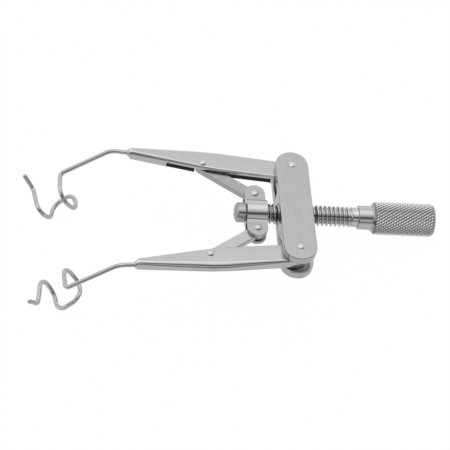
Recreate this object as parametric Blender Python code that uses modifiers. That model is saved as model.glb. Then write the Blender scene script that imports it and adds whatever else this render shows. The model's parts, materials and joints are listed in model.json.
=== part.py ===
"""Adjustable wire eye speculum with a thumb screw.

The mechanism is modelled around the centre of its nut: +X runs along the screw to the
knurled knob, +Y to the arm of the upper lid, +Z to the face of the bridge.
An empty then tips it into its resting pose, on the low bends of the two wire blades and
the rim of the knob, with the middle of its footprint at the origin. Lengths in metres.
"""
import math

import bmesh
import bpy
from mathutils import Matrix, Vector

MM = 0.001

# Clearances
RUN_GAP = 0.10 * MM          # between pieces that move on each other
SEAT_GAP = 0.03 * MM         # between pieces that are pressed, riveted or brazed
LINK_EYE_PLAY = 0.67 * MM    # radial play of the link's eye on its yoke rivet

# Bridge: two obround plates on two pivot rivets, with the nut between them
PIVOT_Y = 9.6 * MM
PLATE_WIDTH = 6.0 * MM
PLATE_THICKNESS = 1.65 * MM
PLATE_RIM = 0.22 * MM
PIVOT_PIN_RADIUS = 0.75 * MM
PIVOT_PIN_CROWN = 0.26 * MM
NUT_END_RADIUS = 2.95 * MM
NUT_END_Y = 3.90 * MM        # how far out the centres of the nut's round ends lie
NUT_BOSS_RADIUS = 2.50 * MM
NUT_BOSS_HEIGHT = 4.70 * MM

# Arms: flat bars, nearly half-round on the outside, that narrow to a round nose
ARM_THICKNESS = 2.2 * MM
ARM_TIP_X = -29.0 * MM
ARM_KINK_X = -14.5 * MM
ARM_KINK_BLEND = 1.6 * MM
ARM_TIP_INNER = 12.30 * MM
ARM_TIP_OUTER = 13.55 * MM
ARM_KINK_INNER = 9.20 * MM
ARM_KINK_OUTER = 13.55 * MM
ARM_END_RADIUS = 1.85 * MM
ARM_TIP_EDGE = 0.60 * MM
ARM_KINK_INNER_EDGE = 0.42 * MM
ARM_KINK_OUTER_EDGE = 1.00 * MM
ARM_END_INNER_EDGE = 0.22 * MM
ARM_END_OUTER_EDGE = 0.50 * MM
ARM_NOSE_LENGTH = 0.65 * MM
ARM_NOSE_RADIUS = 0.52 * MM
ROOF_THICKNESS = 0.80 * MM
RECESS_FRONT_X = -22.6 * MM
RECESS_REAR_X = -3.6 * MM
RECESS_DEPTH = 0.35 * MM     # from the arm's inner edge to the recess's wall
RECESS_CORNER = 0.25 * MM
POCKET_GAP = 0.22 * MM       # round the link's end, where the recess goes deeper
LINK_FOLD = math.radians(27.5)   # the smallest angle of the link to the arm

# Links and their rivets
LINK_PIN_X = -16.1 * MM
LINK_PIN_Y = 10.6 * MM
LINK_PIN_RADIUS = 0.45 * MM
LINK_THICKNESS = 1.2 * MM
LINK_WIDTH = 2.2 * MM
LINK_EYE_RADIUS = 1.5 * MM
LINK_EDGE = 0.10 * MM
RIVET_HEAD_RADIUS = 0.77 * MM
RIVET_HEAD_HEIGHT = 0.34 * MM
RIVET_TAIL_HEIGHT = 0.20 * MM
RIVET_TAIL_EDGE = 0.11 * MM

# Yoke: two clamp plates that hold the screw's journal and the rear ends of the links
YOKE_PIN_X = -7.0 * MM
YOKE_PIN_Y = 4.0 * MM
YOKE_PIN_RADIUS = 0.50 * MM
YOKE_WIDTH = 3.7 * MM
EAR_THICKNESS = 0.60 * MM
BARREL_RADIUS = 2.45 * MM
BARREL_WALL = 1.0 * MM
BARREL_CHEEK = 0.60 * MM
BARREL_FILLET = 0.60 * MM

# Screw: journal, thread, shank
THREAD_PITCH = 0.80 * MM
THREAD_RADIUS = 1.87 * MM
THREAD_DEPTH = 0.44 * MM
THREAD_CREST = 0.12 * MM
THREAD_SIDES = 16
THREAD_END_X = 9.3 * MM
THREAD_RUNOUT = 1.6 * MM
NECK_RADIUS = 1.77 * MM
SPIGOT_RADIUS = 0.90 * MM
SPIGOT_LENGTH = 1.30 * MM
SHANK_RADIUS = 1.55 * MM
SHANK_LENGTH = 9.0 * MM
BUTTON_RADIUS = 1.80 * MM
BUTTON_LENGTH = 2.05 * MM
BUTTON_CROWN = 0.75 * MM
BUTTON_EDGE = 0.15 * MM

# Thumb knob: a hub and a diamond-knurled grip
HUB_FRONT_X = 11.65 * MM
HUB_RADIUS = 2.17 * MM
HUB_LENGTH = 2.60 * MM
HUB_EDGE = 0.12 * MM
KNOB_RADIUS = 3.0 * MM
KNOB_LENGTH = 11.4 * MM
KNOB_CHAMFER = 0.30 * MM
KNURL_DEPTH = 0.20 * MM
KNURLS_AROUND = 32
KNURLS_ALONG = 12

# Blades: one bent wire each
WIRE_RADIUS = 0.41 * MM
WIRE_SOCKET_DEPTH = 2.8 * MM
WIRE_OFFSET = 0.12 * MM      # how far outside the nose's middle the wire leaves it
WIRE_SPLAY = math.radians(5.8)
SHANK_BEND_X = -32.6 * MM
SHANK_BEND_RADIUS = 3.1 * MM
SHANK_DROP = math.radians(39.5)
SHANK_RUN = 11.05 * MM
CORNER_BEND = 0.92 * MM
HOOK_REACH = 5.9 * MM        # how far the strands over the lid come in from the corner
HOOK_LEAN = 0.3 * MM         # how far the first strand leans forward
HOOK_DEPTH = 5.85 * MM       # from the strand over the lid to the one under it
HOOK_SET = 1.2 * MM          # how far the strands under the lid stay back at the hooks
HOOK_RADIUS = 2.70 * MM
FRONT_DEPTH = 4.2 * MM       # the same depth at the front hook
BLADE_WIDTH = 5.15 * MM      # between the front and the rear strands
TURN_REACH = 1.0 * MM        # how far the turn under the lid stays short of the corner
TURN_RADIUS = 2.40 * MM
TURN_LIFT = 0.9 * MM         # how far the turn rises towards the rear strand
TAIL_SET = 0.9 * MM          # how far the tail strand leans forward
TAIL_BEND = 1.2 * MM
TAIL_REACH = 1.4 * MM
TAIL_RISE = 3.05 * MM

# Places that follow from the sizes above
PLATE_INNER_Z = ARM_THICKNESS / 2 + RUN_GAP
PLATE_OUTER_Z = PLATE_INNER_Z + PLATE_THICKNESS
ROOF_Z = ARM_THICKNESS / 2 - ROOF_THICKNESS
LINK_TOP_Z = ROOF_Z - RUN_GAP
LINK_BOTTOM_Z = LINK_TOP_Z - LINK_THICKNESS
LINK_MID_Z = (LINK_TOP_Z + LINK_BOTTOM_Z) / 2
YOKE_FRONT_X = YOKE_PIN_X - YOKE_WIDTH / 2
YOKE_REAR_X = YOKE_PIN_X + YOKE_WIDTH / 2
THREAD_START_X = YOKE_REAR_X + RUN_GAP
JOURNAL_RADIUS = BARREL_RADIUS - BARREL_WALL - RUN_GAP
BUTTON_REAR_X = YOKE_FRONT_X - RUN_GAP
KNOB_FRONT_X = HUB_FRONT_X + HUB_LENGTH
KNOB_REAR_X = KNOB_FRONT_X + KNOB_LENGTH
THREAD_CORE_RADIUS = THREAD_RADIUS - THREAD_DEPTH
EYELIDS = {"upper": 1, "lower": -1}

SATIN = ((0.60, 0.60, 0.61), 0.32)
POLISHED = ((0.68, 0.68, 0.69), 0.18)
BLASTED = ((0.56, 0.56, 0.57), 0.48)


# Scene, materials and objects

def clear_scene():
    for obj in list(bpy.data.objects):
        bpy.data.objects.remove(obj, do_unlink=True)


def new_collection(name):
    collection = bpy.data.collections.new(name)
    bpy.context.scene.collection.children.link(collection)
    return collection


def steel(name, finish):
    colour, roughness = finish
    material = bpy.data.materials.new(name)
    material.use_nodes = True
    shader = material.node_tree.nodes["Principled BSDF"]
    shader.inputs["Base Color"].default_value = (*colour, 1.0)
    shader.inputs["Metallic"].default_value = 1.0
    shader.inputs["Roughness"].default_value = roughness
    return material


def add_object(name, mesh, collection, location=(0, 0, 0), parent=None):
    obj = bpy.data.objects.new(name, mesh)
    obj.location = location
    obj.parent = parent
    collection.objects.link(obj)
    return obj


def add_part(name, mesh, finish, location, parent):
    """One finished piece, with its own material and its round faces shaded smooth."""
    obj = add_object(name, mesh, PARTS, location, parent)
    mesh.materials.clear()
    mesh.materials.append(steel(name, finish))
    mesh.shade_smooth()
    mesh.set_sharp_from_angle(angle=math.radians(35))
    return obj


def add_empty(name, location, parent):
    return add_object(name, None, PARTS, location, parent)


def add_cutter(name, mesh, location, parent, rotation=None):
    obj = add_object(name, mesh, CUTTERS, location, parent)
    obj.hide_render = True
    obj.display_type = 'WIRE'
    if rotation:
        obj.rotation_euler = rotation
    return obj


def boolean(obj, cutter, operation='DIFFERENCE'):
    modifier = obj.modifiers.new(cutter.name, 'BOOLEAN')
    modifier.object = cutter
    modifier.operation = operation
    modifier.solver = 'EXACT'
    return modifier


def finish_mesh(bm, name):
    """Weld a closed bmesh, turn its faces outward and store it as a mesh."""
    bmesh.ops.remove_doubles(bm, verts=bm.verts, dist=1e-7)
    bmesh.ops.recalc_face_normals(bm, faces=bm.faces)
    mesh = bpy.data.meshes.new(name)
    bm.to_mesh(mesh)
    bm.free()
    return mesh


# Shapes

def arc(centre, radius, start, end, steps):
    """Points of a circle about centre, from one angle to another."""
    angles = [start + (end - start) * i / steps for i in range(steps + 1)]
    return [(centre[0] + radius * math.cos(a), centre[1] + radius * math.sin(a)) for a in angles]


def rounded_path(corners, radii, steps=5):
    """A run of straight lines with an arc of the given radius at each inner corner."""
    corners = [Vector(c) for c in corners]
    points = [corners[0]]
    for before, corner, after, radius in zip(corners, corners[1:], corners[2:], radii):
        back = (before - corner).normalized()
        ahead = (after - corner).normalized()
        half = back.angle(ahead) / 2
        reach = min(radius / math.tan(half), 0.499 * (before - corner).length,
                    0.499 * (after - corner).length)
        bend = reach * math.tan(half)
        centre = corner + (back + ahead).normalized() * bend / math.sin(half)
        first = corner + back * reach - centre
        last = corner + ahead * reach - centre
        sweep = first.angle(last)
        for i in range(steps + 1):
            t = i / steps
            blend = first * math.sin((1 - t) * sweep) + last * math.sin(t * sweep)
            points.append(centre + blend / math.sin(sweep))
    points.append(corners[-1])
    return points


def dome(radius, crown, base, steps):
    """A dome's outline as (radius, height) pairs, from its middle out to its rim."""
    return [(radius * x, base + crown * y) for y, x in arc((0, 0), 1, 0, math.pi / 2, steps)]


def extrusion(name, outline, low, high, edge=0.0, steps=2):
    """A flat outline in X and Y, extruded from low to high, with its rims bevelled."""
    curve = bpy.data.curves.new(name, 'CURVE')
    curve.dimensions = '2D'
    curve.fill_mode = 'BOTH'
    curve.extrude = (high - low) / 2
    spline = curve.splines.new('POLY')
    spline.points.add(len(outline) - 1)
    for point, (x, y) in zip(spline.points, outline):
        point.co = (x, y, 0, 1)
    spline.use_cyclic_u = True
    bm = evaluated_bmesh(add_object(name + "_outline", curve, CUTTERS))
    bmesh.ops.translate(bm, verts=bm.verts, vec=(0, 0, (low + high) / 2))
    if edge:
        rims = [e for e in bm.edges
                if len(e.link_faces) == 2 and e.calc_face_angle() > math.radians(60)
                and abs(e.verts[0].co.z - e.verts[1].co.z) < 1e-7]
        bmesh.ops.bevel(bm, geom=rims, offset=edge, segments=steps, affect='EDGES', profile=0.5)
    return finish_mesh(bm, name)


def evaluated_bmesh(holder):
    """What an object's curve or modifiers make, welded, as a bmesh. The object is removed."""
    bpy.context.view_layer.update()
    evaluated = holder.evaluated_get(bpy.context.evaluated_depsgraph_get())
    mesh = bpy.data.meshes.new_from_object(evaluated)
    bm = bmesh.new()
    bm.from_mesh(mesh)
    bmesh.ops.remove_doubles(bm, verts=bm.verts, dist=1e-7)
    bpy.data.objects.remove(holder)
    bpy.data.meshes.remove(mesh)
    return bm


def profile_object(name, points, closed=False):
    """An object whose mesh is a line through points of (radius, height), at +X."""
    bm = bmesh.new()
    verts = [bm.verts.new((radius, 0, height)) for radius, height in points]
    for pair in zip(verts, verts[1:] + (verts[:1] if closed else [])):
        bm.edges.new(pair)
    mesh = bpy.data.meshes.new(name)
    bm.to_mesh(mesh)
    bm.free()
    return add_object(name + "_profile", mesh, CUTTERS)


def spun(holder, sides, rise=0.0, turns=1):
    """A Screw modifier's result on a profile: turned, or wound along Z with a rise."""
    modifier = holder.modifiers.new("Screw", 'SCREW')
    modifier.steps = modifier.render_steps = sides
    modifier.screw_offset = rise
    modifier.iterations = turns
    modifier.use_merge_vertices = not rise
    modifier.merge_threshold = 1e-7
    return evaluated_bmesh(holder)


def along_x(bm):
    """Turns what was made about Z so that its height lies along X."""
    bmesh.ops.rotate(bm, verts=bm.verts, matrix=Matrix.Rotation(math.pi / 2, 3, 'Y'))


def turned(name, profile, sides=16, axis='Z'):
    """A turned solid: a profile of (radius, height) pairs spun about its axis."""
    bm = spun(profile_object(name, profile), sides)
    if axis == 'X':
        along_x(bm)
    return finish_mesh(bm, name)


def cylinder(name, radius, low, high, sides=20, axis='Z'):
    bm = bmesh.new()
    bmesh.ops.create_cone(bm, cap_ends=True, segments=sides, radius1=radius, radius2=radius,
                          depth=high - low, matrix=Matrix.Translation((0, 0, (low + high) / 2)))
    if axis == 'X':
        along_x(bm)
    return finish_mesh(bm, name)


def lofted(name, sections, mirror=False):
    """A closed skin over sections that all have the same number of points."""
    bm = bmesh.new()
    rings = [[bm.verts.new((x, -y if mirror else y, z)) for x, y, z in ring] for ring in sections]
    for ring, after in zip(rings, rings[1:]):
        for i in range(len(ring)):
            j = (i + 1) % len(ring)
            bm.faces.new((ring[i], ring[j], after[j], after[i]))
    bm.faces.new(rings[0])
    bm.faces.new(rings[-1])
    return finish_mesh(bm, name)


# Bridge

def obround(half_length, radius, steps=12):
    """A flat bar's outline along Y, with round ends about y = +-half_length."""
    return (arc((0, half_length), radius, 0, math.pi, steps)
            + arc((0, -half_length), radius, math.pi, 2 * math.pi, steps))


def bridge_plate(name, side):
    """One plate, with a pocket for the nut's boss and a groove over the screw."""
    outline = obround(PIVOT_Y, PLATE_WIDTH / 2)
    low, high = sorted((side * PLATE_INNER_Z, side * PLATE_OUTER_Z))
    plate = add_part(name, extrusion(name, outline, low, high, PLATE_RIM), SATIN, (0, 0, 0), MECHANISM)
    pocket_depth = NUT_BOSS_HEIGHT / 2 + SEAT_GAP
    boolean(plate, add_cutter(
        name + "_pocket", cylinder(name + "_pocket", NUT_BOSS_RADIUS + SEAT_GAP,
                                   -pocket_depth, pocket_depth, 24), (0, 0, 0), MECHANISM))
    boolean(plate, add_cutter(
        name + "_groove", cylinder(name + "_groove", THREAD_RADIUS + RUN_GAP,
                                   -PLATE_WIDTH, PLATE_WIDTH, 24, 'X'), (0, 0, 0), MECHANISM))
    for lid, lid_side in EYELIDS.items():
        boolean(plate, add_cutter(
            f"{name}_{lid}_hole", cylinder(name, PIVOT_PIN_RADIUS + SEAT_GAP,
                                           -2 * PLATE_OUTER_Z, 2 * PLATE_OUTER_Z),
            (0, lid_side * PIVOT_Y, 0), MECHANISM))
    return plate


def bridge_nut():
    """An obround nut between the plates and the arms' ends, with a boss in each plate's pocket."""
    half = PLATE_INNER_Z - SEAT_GAP
    boss = NUT_BOSS_HEIGHT / 2
    block = extrusion("bridge_nut", obround(NUT_END_Y, NUT_END_RADIUS), -half, half)
    nut = add_part("bridge_nut", block, SATIN, (0, 0, 0), MECHANISM)
    boolean(nut, add_cutter(
        "nut_boss", cylinder("nut_boss", NUT_BOSS_RADIUS, -boss, boss, 24), (0, 0, 0), MECHANISM),
        'UNION')
    boolean(nut, add_cutter(
        "nut_bore", cylinder("nut_bore", THREAD_RADIUS + RUN_GAP, -PLATE_WIDTH, PLATE_WIDTH, 24, 'X'),
        (0, 0, 0), MECHANISM))
    return nut


def pivot_rivet(lid, side):
    """A pin through both plates and the arm, peened to a low crown at each end."""
    profile = dome(PIVOT_PIN_RADIUS, PIVOT_PIN_CROWN, PLATE_OUTER_Z, 3)
    profile += [(radius, -height) for radius, height in reversed(profile)]
    name = f"arm_pivot_rivet_{lid}"
    return add_part(name, turned(name, profile), POLISHED, (0, side * PIVOT_Y, 0), MECHANISM)


# Arms

def blended(x, at_tip, at_kink, at_pivot):
    """An edge's Y at x: straight from tip to kink and from kink to pivot, rounded between."""
    front = (at_kink - at_tip) / (ARM_KINK_X - ARM_TIP_X)
    rear = (at_pivot - at_kink) / -ARM_KINK_X
    distance = x - ARM_KINK_X
    bend = math.sqrt(distance ** 2 + ARM_KINK_BLEND ** 2) - ARM_KINK_BLEND
    return at_kink + (front + rear) / 2 * distance + (rear - front) / 2 * bend


def arm_edges(x):
    """The inner and the outer edge of an arm at x, which ends round about its pivot."""
    if x > 0:
        half = math.sqrt(max(ARM_END_RADIUS ** 2 - x ** 2, 0))
        return PIVOT_Y - half, PIVOT_Y + half
    return (blended(x, ARM_TIP_INNER, ARM_KINK_INNER, PIVOT_Y - ARM_END_RADIUS),
            blended(x, ARM_TIP_OUTER, ARM_KINK_OUTER, PIVOT_Y + ARM_END_RADIUS))


def arm_edge_radius(x, at_kink, at_end):
    """How far one of the arm's long edges is rounded at x."""
    if x < ARM_KINK_X:
        t = (x - ARM_TIP_X) / (ARM_KINK_X - ARM_TIP_X)
        return ARM_TIP_EDGE + (at_kink - ARM_TIP_EDGE) * t
    t = min((x - ARM_KINK_X) / -ARM_KINK_X, 1.0)
    return at_kink + (at_end - at_kink) * t


def rounded_section(x, low_y, high_y, half_height, low_radius, high_radius):
    """A rounded rectangle in Y and Z at station x, with a radius for each side."""
    limit = min(0.49 * (high_y - low_y), 0.98 * half_height)
    low_radius, high_radius = min(low_radius, limit), min(high_radius, limit)
    ring = []
    for quarter, (side, end) in enumerate([(1, 1), (-1, 1), (-1, -1), (1, -1)]):
        radius = high_radius if side > 0 else low_radius
        centre_y = high_y - radius if side > 0 else low_y + radius
        start = quarter * math.pi / 2
        corner = arc((centre_y, end * (half_height - radius)), radius, start, start + math.pi / 2,
                     4 if side > 0 else 3)
        ring += [(x, y, z) for y, z in corner]
    return ring


def wire_line(x):
    """The wire's Y at x between its socket and its first bend."""
    at_tip = (ARM_TIP_INNER + ARM_TIP_OUTER) / 2 + WIRE_OFFSET
    return at_tip + (ARM_TIP_X - x) * math.tan(WIRE_SPLAY)


def arm_sections():
    half = ARM_THICKNESS / 2
    nose_x = ARM_TIP_X - ARM_NOSE_LENGTH
    nose_y = wire_line(nose_x)
    sections = [rounded_section(nose_x, nose_y - ARM_NOSE_RADIUS, nose_y + ARM_NOSE_RADIUS,
                                ARM_NOSE_RADIUS, ARM_NOSE_RADIUS, ARM_NOSE_RADIUS)]
    straight = 11            # stations from pivot to tip
    turn = 6                 # stations round the end, short of its very edge
    stations = [ARM_TIP_X * (1 - i / straight) for i in range(straight + 1)]
    stations += [ARM_END_RADIUS * math.sin(math.radians(84) * i / turn) for i in range(1, turn + 1)]
    for x in stations:
        inner_edge = arm_edge_radius(x, ARM_KINK_INNER_EDGE, ARM_END_INNER_EDGE)
        outer_edge = arm_edge_radius(x, ARM_KINK_OUTER_EDGE, ARM_END_OUTER_EDGE)
        sections.append(rounded_section(x, *arm_edges(x), half, inner_edge, outer_edge))
    return sections


def ledge(x):
    """A point of the recess's wall along the arm's inner edge."""
    return x, arm_edges(x)[0] + RECESS_DEPTH, 0


def recess_outline(side):
    """Plan of the recess: a ledge along the inner edge, and a pocket where the link turns."""
    reach = LINK_WIDTH / 2 + POCKET_GAP
    open_y = PIVOT_Y - 3 * ARM_END_RADIUS
    pocket = arc((LINK_PIN_X, LINK_PIN_Y), reach, math.pi, math.pi / 2 - LINK_FOLD, 8)
    last_x, last_y = pocket[-1]
    wall_x, wall_y, _ = ledge(last_x)
    slope = (ledge(RECESS_REAR_X)[1] - wall_y) / (RECESS_REAR_X - wall_x)
    meet_x = last_x + (last_y - wall_y) / (math.tan(LINK_FOLD) + slope)
    front = rounded_path([(RECESS_FRONT_X, open_y, 0), ledge(RECESS_FRONT_X),
                          ledge(LINK_PIN_X - reach)], (RECESS_CORNER,), 3)
    rear = rounded_path([ledge(meet_x), ledge(RECESS_REAR_X), (RECESS_REAR_X, open_y, 0)],
                        (RECESS_CORNER,), 3)
    path = [(p.x, p.y) for p in front] + pocket + [(p.x, p.y) for p in rear]
    return [(x, side * y) for x, y in path]


def arm(lid, side, pivot):
    """One arm about its pivot, with its recess, its two rivet holes and the wire's socket."""
    name = f"arm_{lid}"
    origin = (0, -side * PIVOT_Y, 0)
    bar = add_part(name, lofted(name, arm_sections(), side < 0), SATIN, (0, 0, 0), pivot)
    bar.data.transform(Matrix.Translation(origin))
    boolean(bar, add_cutter(
        name + "_recess", extrusion(name, recess_outline(side), -ARM_THICKNESS, ROOF_Z), origin, pivot))
    boolean(bar, add_cutter(
        name + "_pivot_hole", cylinder(name, PIVOT_PIN_RADIUS + RUN_GAP, -ARM_THICKNESS, ARM_THICKNESS),
        (0, 0, 0), pivot))
    boolean(bar, add_cutter(
        name + "_rivet_hole", cylinder(name, LINK_PIN_RADIUS + SEAT_GAP, -ARM_THICKNESS, ARM_THICKNESS),
        (LINK_PIN_X, side * (LINK_PIN_Y - PIVOT_Y), 0), pivot))
    socket = add_cutter(
        name + "_socket", cylinder(name, WIRE_RADIUS + SEAT_GAP, -WIRE_SOCKET_DEPTH,
                                   2 * ARM_NOSE_LENGTH, 16, 'X'),
        (ARM_TIP_X, side * (wire_line(ARM_TIP_X) - PIVOT_Y), 0), pivot,
        (0, 0, math.pi - side * WIRE_SPLAY))
    boolean(bar, socket)
    return bar


# Links and rivets

def riveted(name, radius, top, bottom, location, parent):
    """A rivet with a domed head on top and a flat tail below, both clear of the stack."""
    head, tail = top + SEAT_GAP, bottom - SEAT_GAP
    end = tail - RIVET_TAIL_HEIGHT
    profile = dome(RIVET_HEAD_RADIUS, RIVET_HEAD_HEIGHT, head, 4)
    profile += [(radius, head), (radius, tail), (RIVET_HEAD_RADIUS, tail),
                (RIVET_HEAD_RADIUS - RIVET_TAIL_EDGE, end), (0, end)]
    return add_part(name, turned(name, profile), POLISHED, location, parent)


def link(lid, side, pin):
    """A flat link: its front end turns on the arm's rivet, its larger eye lies in the yoke."""
    name = f"link_{lid}"
    reach = Vector((YOKE_PIN_X - LINK_PIN_X, side * (YOKE_PIN_Y - LINK_PIN_Y)))
    half = LINK_WIDTH / 2
    neck = math.asin(half / LINK_EYE_RADIUS)
    outline = (arc((0, 0), half, math.pi / 2, 3 * math.pi / 2, 8)
               + arc((reach.length, 0), LINK_EYE_RADIUS, neck - math.pi, math.pi - neck, 14))
    mesh = extrusion(name, outline, LINK_BOTTOM_Z, LINK_TOP_Z, LINK_EDGE, 1)
    mesh.transform(Matrix.Rotation(math.atan2(reach.y, reach.x), 4, 'Z'))
    bar = add_part(name, mesh, SATIN, (0, 0, 0), pin)
    boolean(bar, add_cutter(
        name + "_pin_hole", cylinder(name, LINK_PIN_RADIUS + RUN_GAP, -ARM_THICKNESS, ARM_THICKNESS),
        (0, 0, 0), pin))
    boolean(bar, add_cutter(
        name + "_eye", cylinder(name, YOKE_PIN_RADIUS + LINK_EYE_PLAY, -ARM_THICKNESS, ARM_THICKNESS),
        (reach.x, reach.y, 0), pin))
    return bar


# Yoke

def clamp_section(ear_inner, ear_outer, parting):
    """Half of a clamp plate's section, at Y > 0, from the bore round to the crest."""
    bore = BARREL_RADIUS - BARREL_WALL
    cheek = bore + BARREL_CHEEK
    ear_end = YOKE_PIN_Y + YOKE_WIDTH
    centre_z = ear_outer + BARREL_FILLET
    centre_y = math.sqrt((BARREL_RADIUS + BARREL_FILLET) ** 2 - centre_z ** 2)
    meet = math.atan2(centre_z, centre_y)
    points = arc((0, 0), bore, math.pi / 2, math.asin(parting / bore), 8)
    points += [(cheek, parting), (cheek, ear_inner), (ear_end, ear_inner), (ear_end, ear_outer)]
    points += arc((centre_y, centre_z), BARREL_FILLET, -math.pi / 2, meet - math.pi, 4)
    points += arc((0, 0), BARREL_RADIUS, meet, math.pi / 2, 8)[1:]
    return points


def yoke_plate(name, side):
    """A clamp plate: half a barrel over the journal and two round ears for the rivets."""
    ear_inner = LINK_THICKNESS / 2 + RUN_GAP + side * LINK_MID_Z
    parting = side * LINK_MID_Z + RUN_GAP / 2
    half = clamp_section(ear_inner, ear_inner + EAR_THICKNESS, parting)
    section = [(y, side * z) for y, z in half + [(-y, z) for y, z in reversed(half[1:-1])]]
    mesh = extrusion(name, section, -YOKE_WIDTH / 2, YOKE_WIDTH / 2)
    mesh.transform(Matrix(((0, 0, 1, 0), (1, 0, 0, 0), (0, 1, 0, 0), (0, 0, 0, 1))))
    plate = add_part(name, mesh, BLASTED, (YOKE_PIN_X, 0, 0), YOKE)
    boolean(plate, add_cutter(
        name + "_plan", extrusion(name, obround(YOKE_PIN_Y, YOKE_WIDTH / 2), -2 * BARREL_RADIUS,
                                  2 * BARREL_RADIUS), (YOKE_PIN_X, 0, 0), YOKE), 'INTERSECT')
    for lid, lid_side in EYELIDS.items():
        boolean(plate, add_cutter(
            f"{name}_{lid}_hole", cylinder(name, YOKE_PIN_RADIUS + SEAT_GAP, -2 * BARREL_RADIUS,
                                           2 * BARREL_RADIUS),
            (YOKE_PIN_X, lid_side * YOKE_PIN_Y, 0), YOKE))
    return plate


# Screw and knob

def threaded_rod(name):
    """A right-hand thread: one pitch of its outline wound about X so that turns join up."""
    crest = THREAD_CREST / 2
    profile = [(THREAD_CORE_RADIUS, -THREAD_PITCH / 2), (THREAD_RADIUS, -crest),
               (THREAD_RADIUS, crest), (THREAD_CORE_RADIUS, THREAD_PITCH / 2)]
    turns = math.ceil((THREAD_END_X + THREAD_RUNOUT - THREAD_START_X) / THREAD_PITCH) + 2
    bm = spun(profile_object(name, profile), THREAD_SIDES, THREAD_PITCH, turns)
    for end in (-1, 1):
        seam_z = end * THREAD_PITCH / 2 + (0 if end < 0 else turns * THREAD_PITCH)
        loop = [v for v in bm.verts if v.is_boundary and abs(v.co.z - seam_z) < 1.01 * THREAD_PITCH]
        seam = sorted((v for v in loop if abs(v.co.y) < 1e-6 and v.co.x > 0), key=lambda v: v.co.z)
        bm.faces.new(seam)
        rim = [e for e in bm.edges if e.is_boundary and e.verts[0] in loop and e.verts[1] in loop]
        hub = bm.verts.new((0, 0, seam_z - end * THREAD_PITCH / 2))
        for edge in rim:
            bm.faces.new((hub, *edge.verts))
    along_x(bm)
    bmesh.ops.translate(bm, verts=bm.verts, vec=(THREAD_START_X - THREAD_PITCH, 0, 0))
    return finish_mesh(bm, name)


def drive_screw():
    """Spigot for the button, journal in the yoke, thread in the nut, shank in the knob."""
    core = THREAD_CORE_RADIUS
    lead = THREAD_DEPTH / 2
    thread_end = THREAD_END_X + THREAD_RUNOUT
    envelope = [
        (0, THREAD_START_X), (core, THREAD_START_X), (THREAD_RADIUS + SEAT_GAP, THREAD_START_X + lead),
        (THREAD_RADIUS + SEAT_GAP, THREAD_END_X), (core, thread_end), (0, thread_end)]
    screw = add_part("drive_screw", threaded_rod("drive_screw"), POLISHED, (0, 0, 0), SCREW)
    boolean(screw, add_cutter("thread_envelope", turned("thread_envelope", envelope, 20, 'X'),
                              (0, 0, 0), SCREW), 'INTERSECT')
    plain = [
        (0, BUTTON_REAR_X - SPIGOT_LENGTH), (SPIGOT_RADIUS, BUTTON_REAR_X - SPIGOT_LENGTH),
        (SPIGOT_RADIUS, BUTTON_REAR_X + SEAT_GAP), (JOURNAL_RADIUS, BUTTON_REAR_X + SEAT_GAP),
        (JOURNAL_RADIUS, THREAD_START_X), (core / 2, THREAD_START_X + lead),
        (core / 2, THREAD_END_X - THREAD_RUNOUT), (core, THREAD_END_X),
        (NECK_RADIUS, thread_end), (NECK_RADIUS, HUB_FRONT_X - SEAT_GAP),
        (SHANK_RADIUS, HUB_FRONT_X - SEAT_GAP),
        (SHANK_RADIUS, HUB_FRONT_X + SHANK_LENGTH), (0, HUB_FRONT_X + SHANK_LENGTH)]
    boolean(screw, add_cutter("screw_plain", turned("screw_plain", plain, 20, 'X'),
                              (0, 0, 0), SCREW), 'UNION')
    return screw


def end_button():
    """The domed button on the spigot, which keeps the yoke on its journal."""
    front = BUTTON_REAR_X - BUTTON_LENGTH
    bore = BUTTON_REAR_X - SPIGOT_LENGTH - SEAT_GAP
    profile = dome(BUTTON_RADIUS, -BUTTON_CROWN, front + BUTTON_CROWN, 5)
    profile += [(BUTTON_RADIUS, BUTTON_REAR_X - BUTTON_EDGE), (BUTTON_RADIUS - BUTTON_EDGE, BUTTON_REAR_X),
                (SPIGOT_RADIUS + SEAT_GAP, BUTTON_REAR_X), (SPIGOT_RADIUS + SEAT_GAP, bore), (0, bore)]
    return add_part("screw_end_button", turned("screw_end_button", profile, 20, 'X'),
                    SATIN, (0, 0, 0), SCREW)


def knurled_grip(name):
    """A turned grip whose skin is drawn out at every other lattice point into diamonds."""
    columns = 2 * KNURLS_AROUND
    rows = 2 * KNURLS_ALONG
    plain = KNOB_RADIUS - KNURL_DEPTH
    first = KNOB_FRONT_X + KNOB_CHAMFER
    step = (KNOB_LENGTH - 2 * KNOB_CHAMFER) / rows
    profile = [(0, KNOB_REAR_X), (plain - KNOB_CHAMFER, KNOB_REAR_X)]
    profile += [(plain, first + row * step) for row in range(rows, -1, -1)]
    profile += [(plain - KNOB_CHAMFER, KNOB_FRONT_X), (0, KNOB_FRONT_X)]
    bm = spun(profile_object(name, profile), columns)
    along_x(bm)
    for vert in bm.verts:
        row = round((vert.co.x - first) / step)
        column = round(math.atan2(vert.co.z, vert.co.y) / (2 * math.pi) * columns)
        radius = math.hypot(vert.co.y, vert.co.z)
        on_skin = 0 < row < rows and radius > plain - KNOB_CHAMFER / 2
        if on_skin and (row + column) % 2:
            vert.co.y *= KNOB_RADIUS / radius
            vert.co.z *= KNOB_RADIUS / radius
    skin = [f for f in bm.faces if len(f.verts) == 4]
    bmesh.ops.triangulate(bm, faces=skin, quad_method='SHORT_EDGE')
    return finish_mesh(bm, name)


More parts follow.
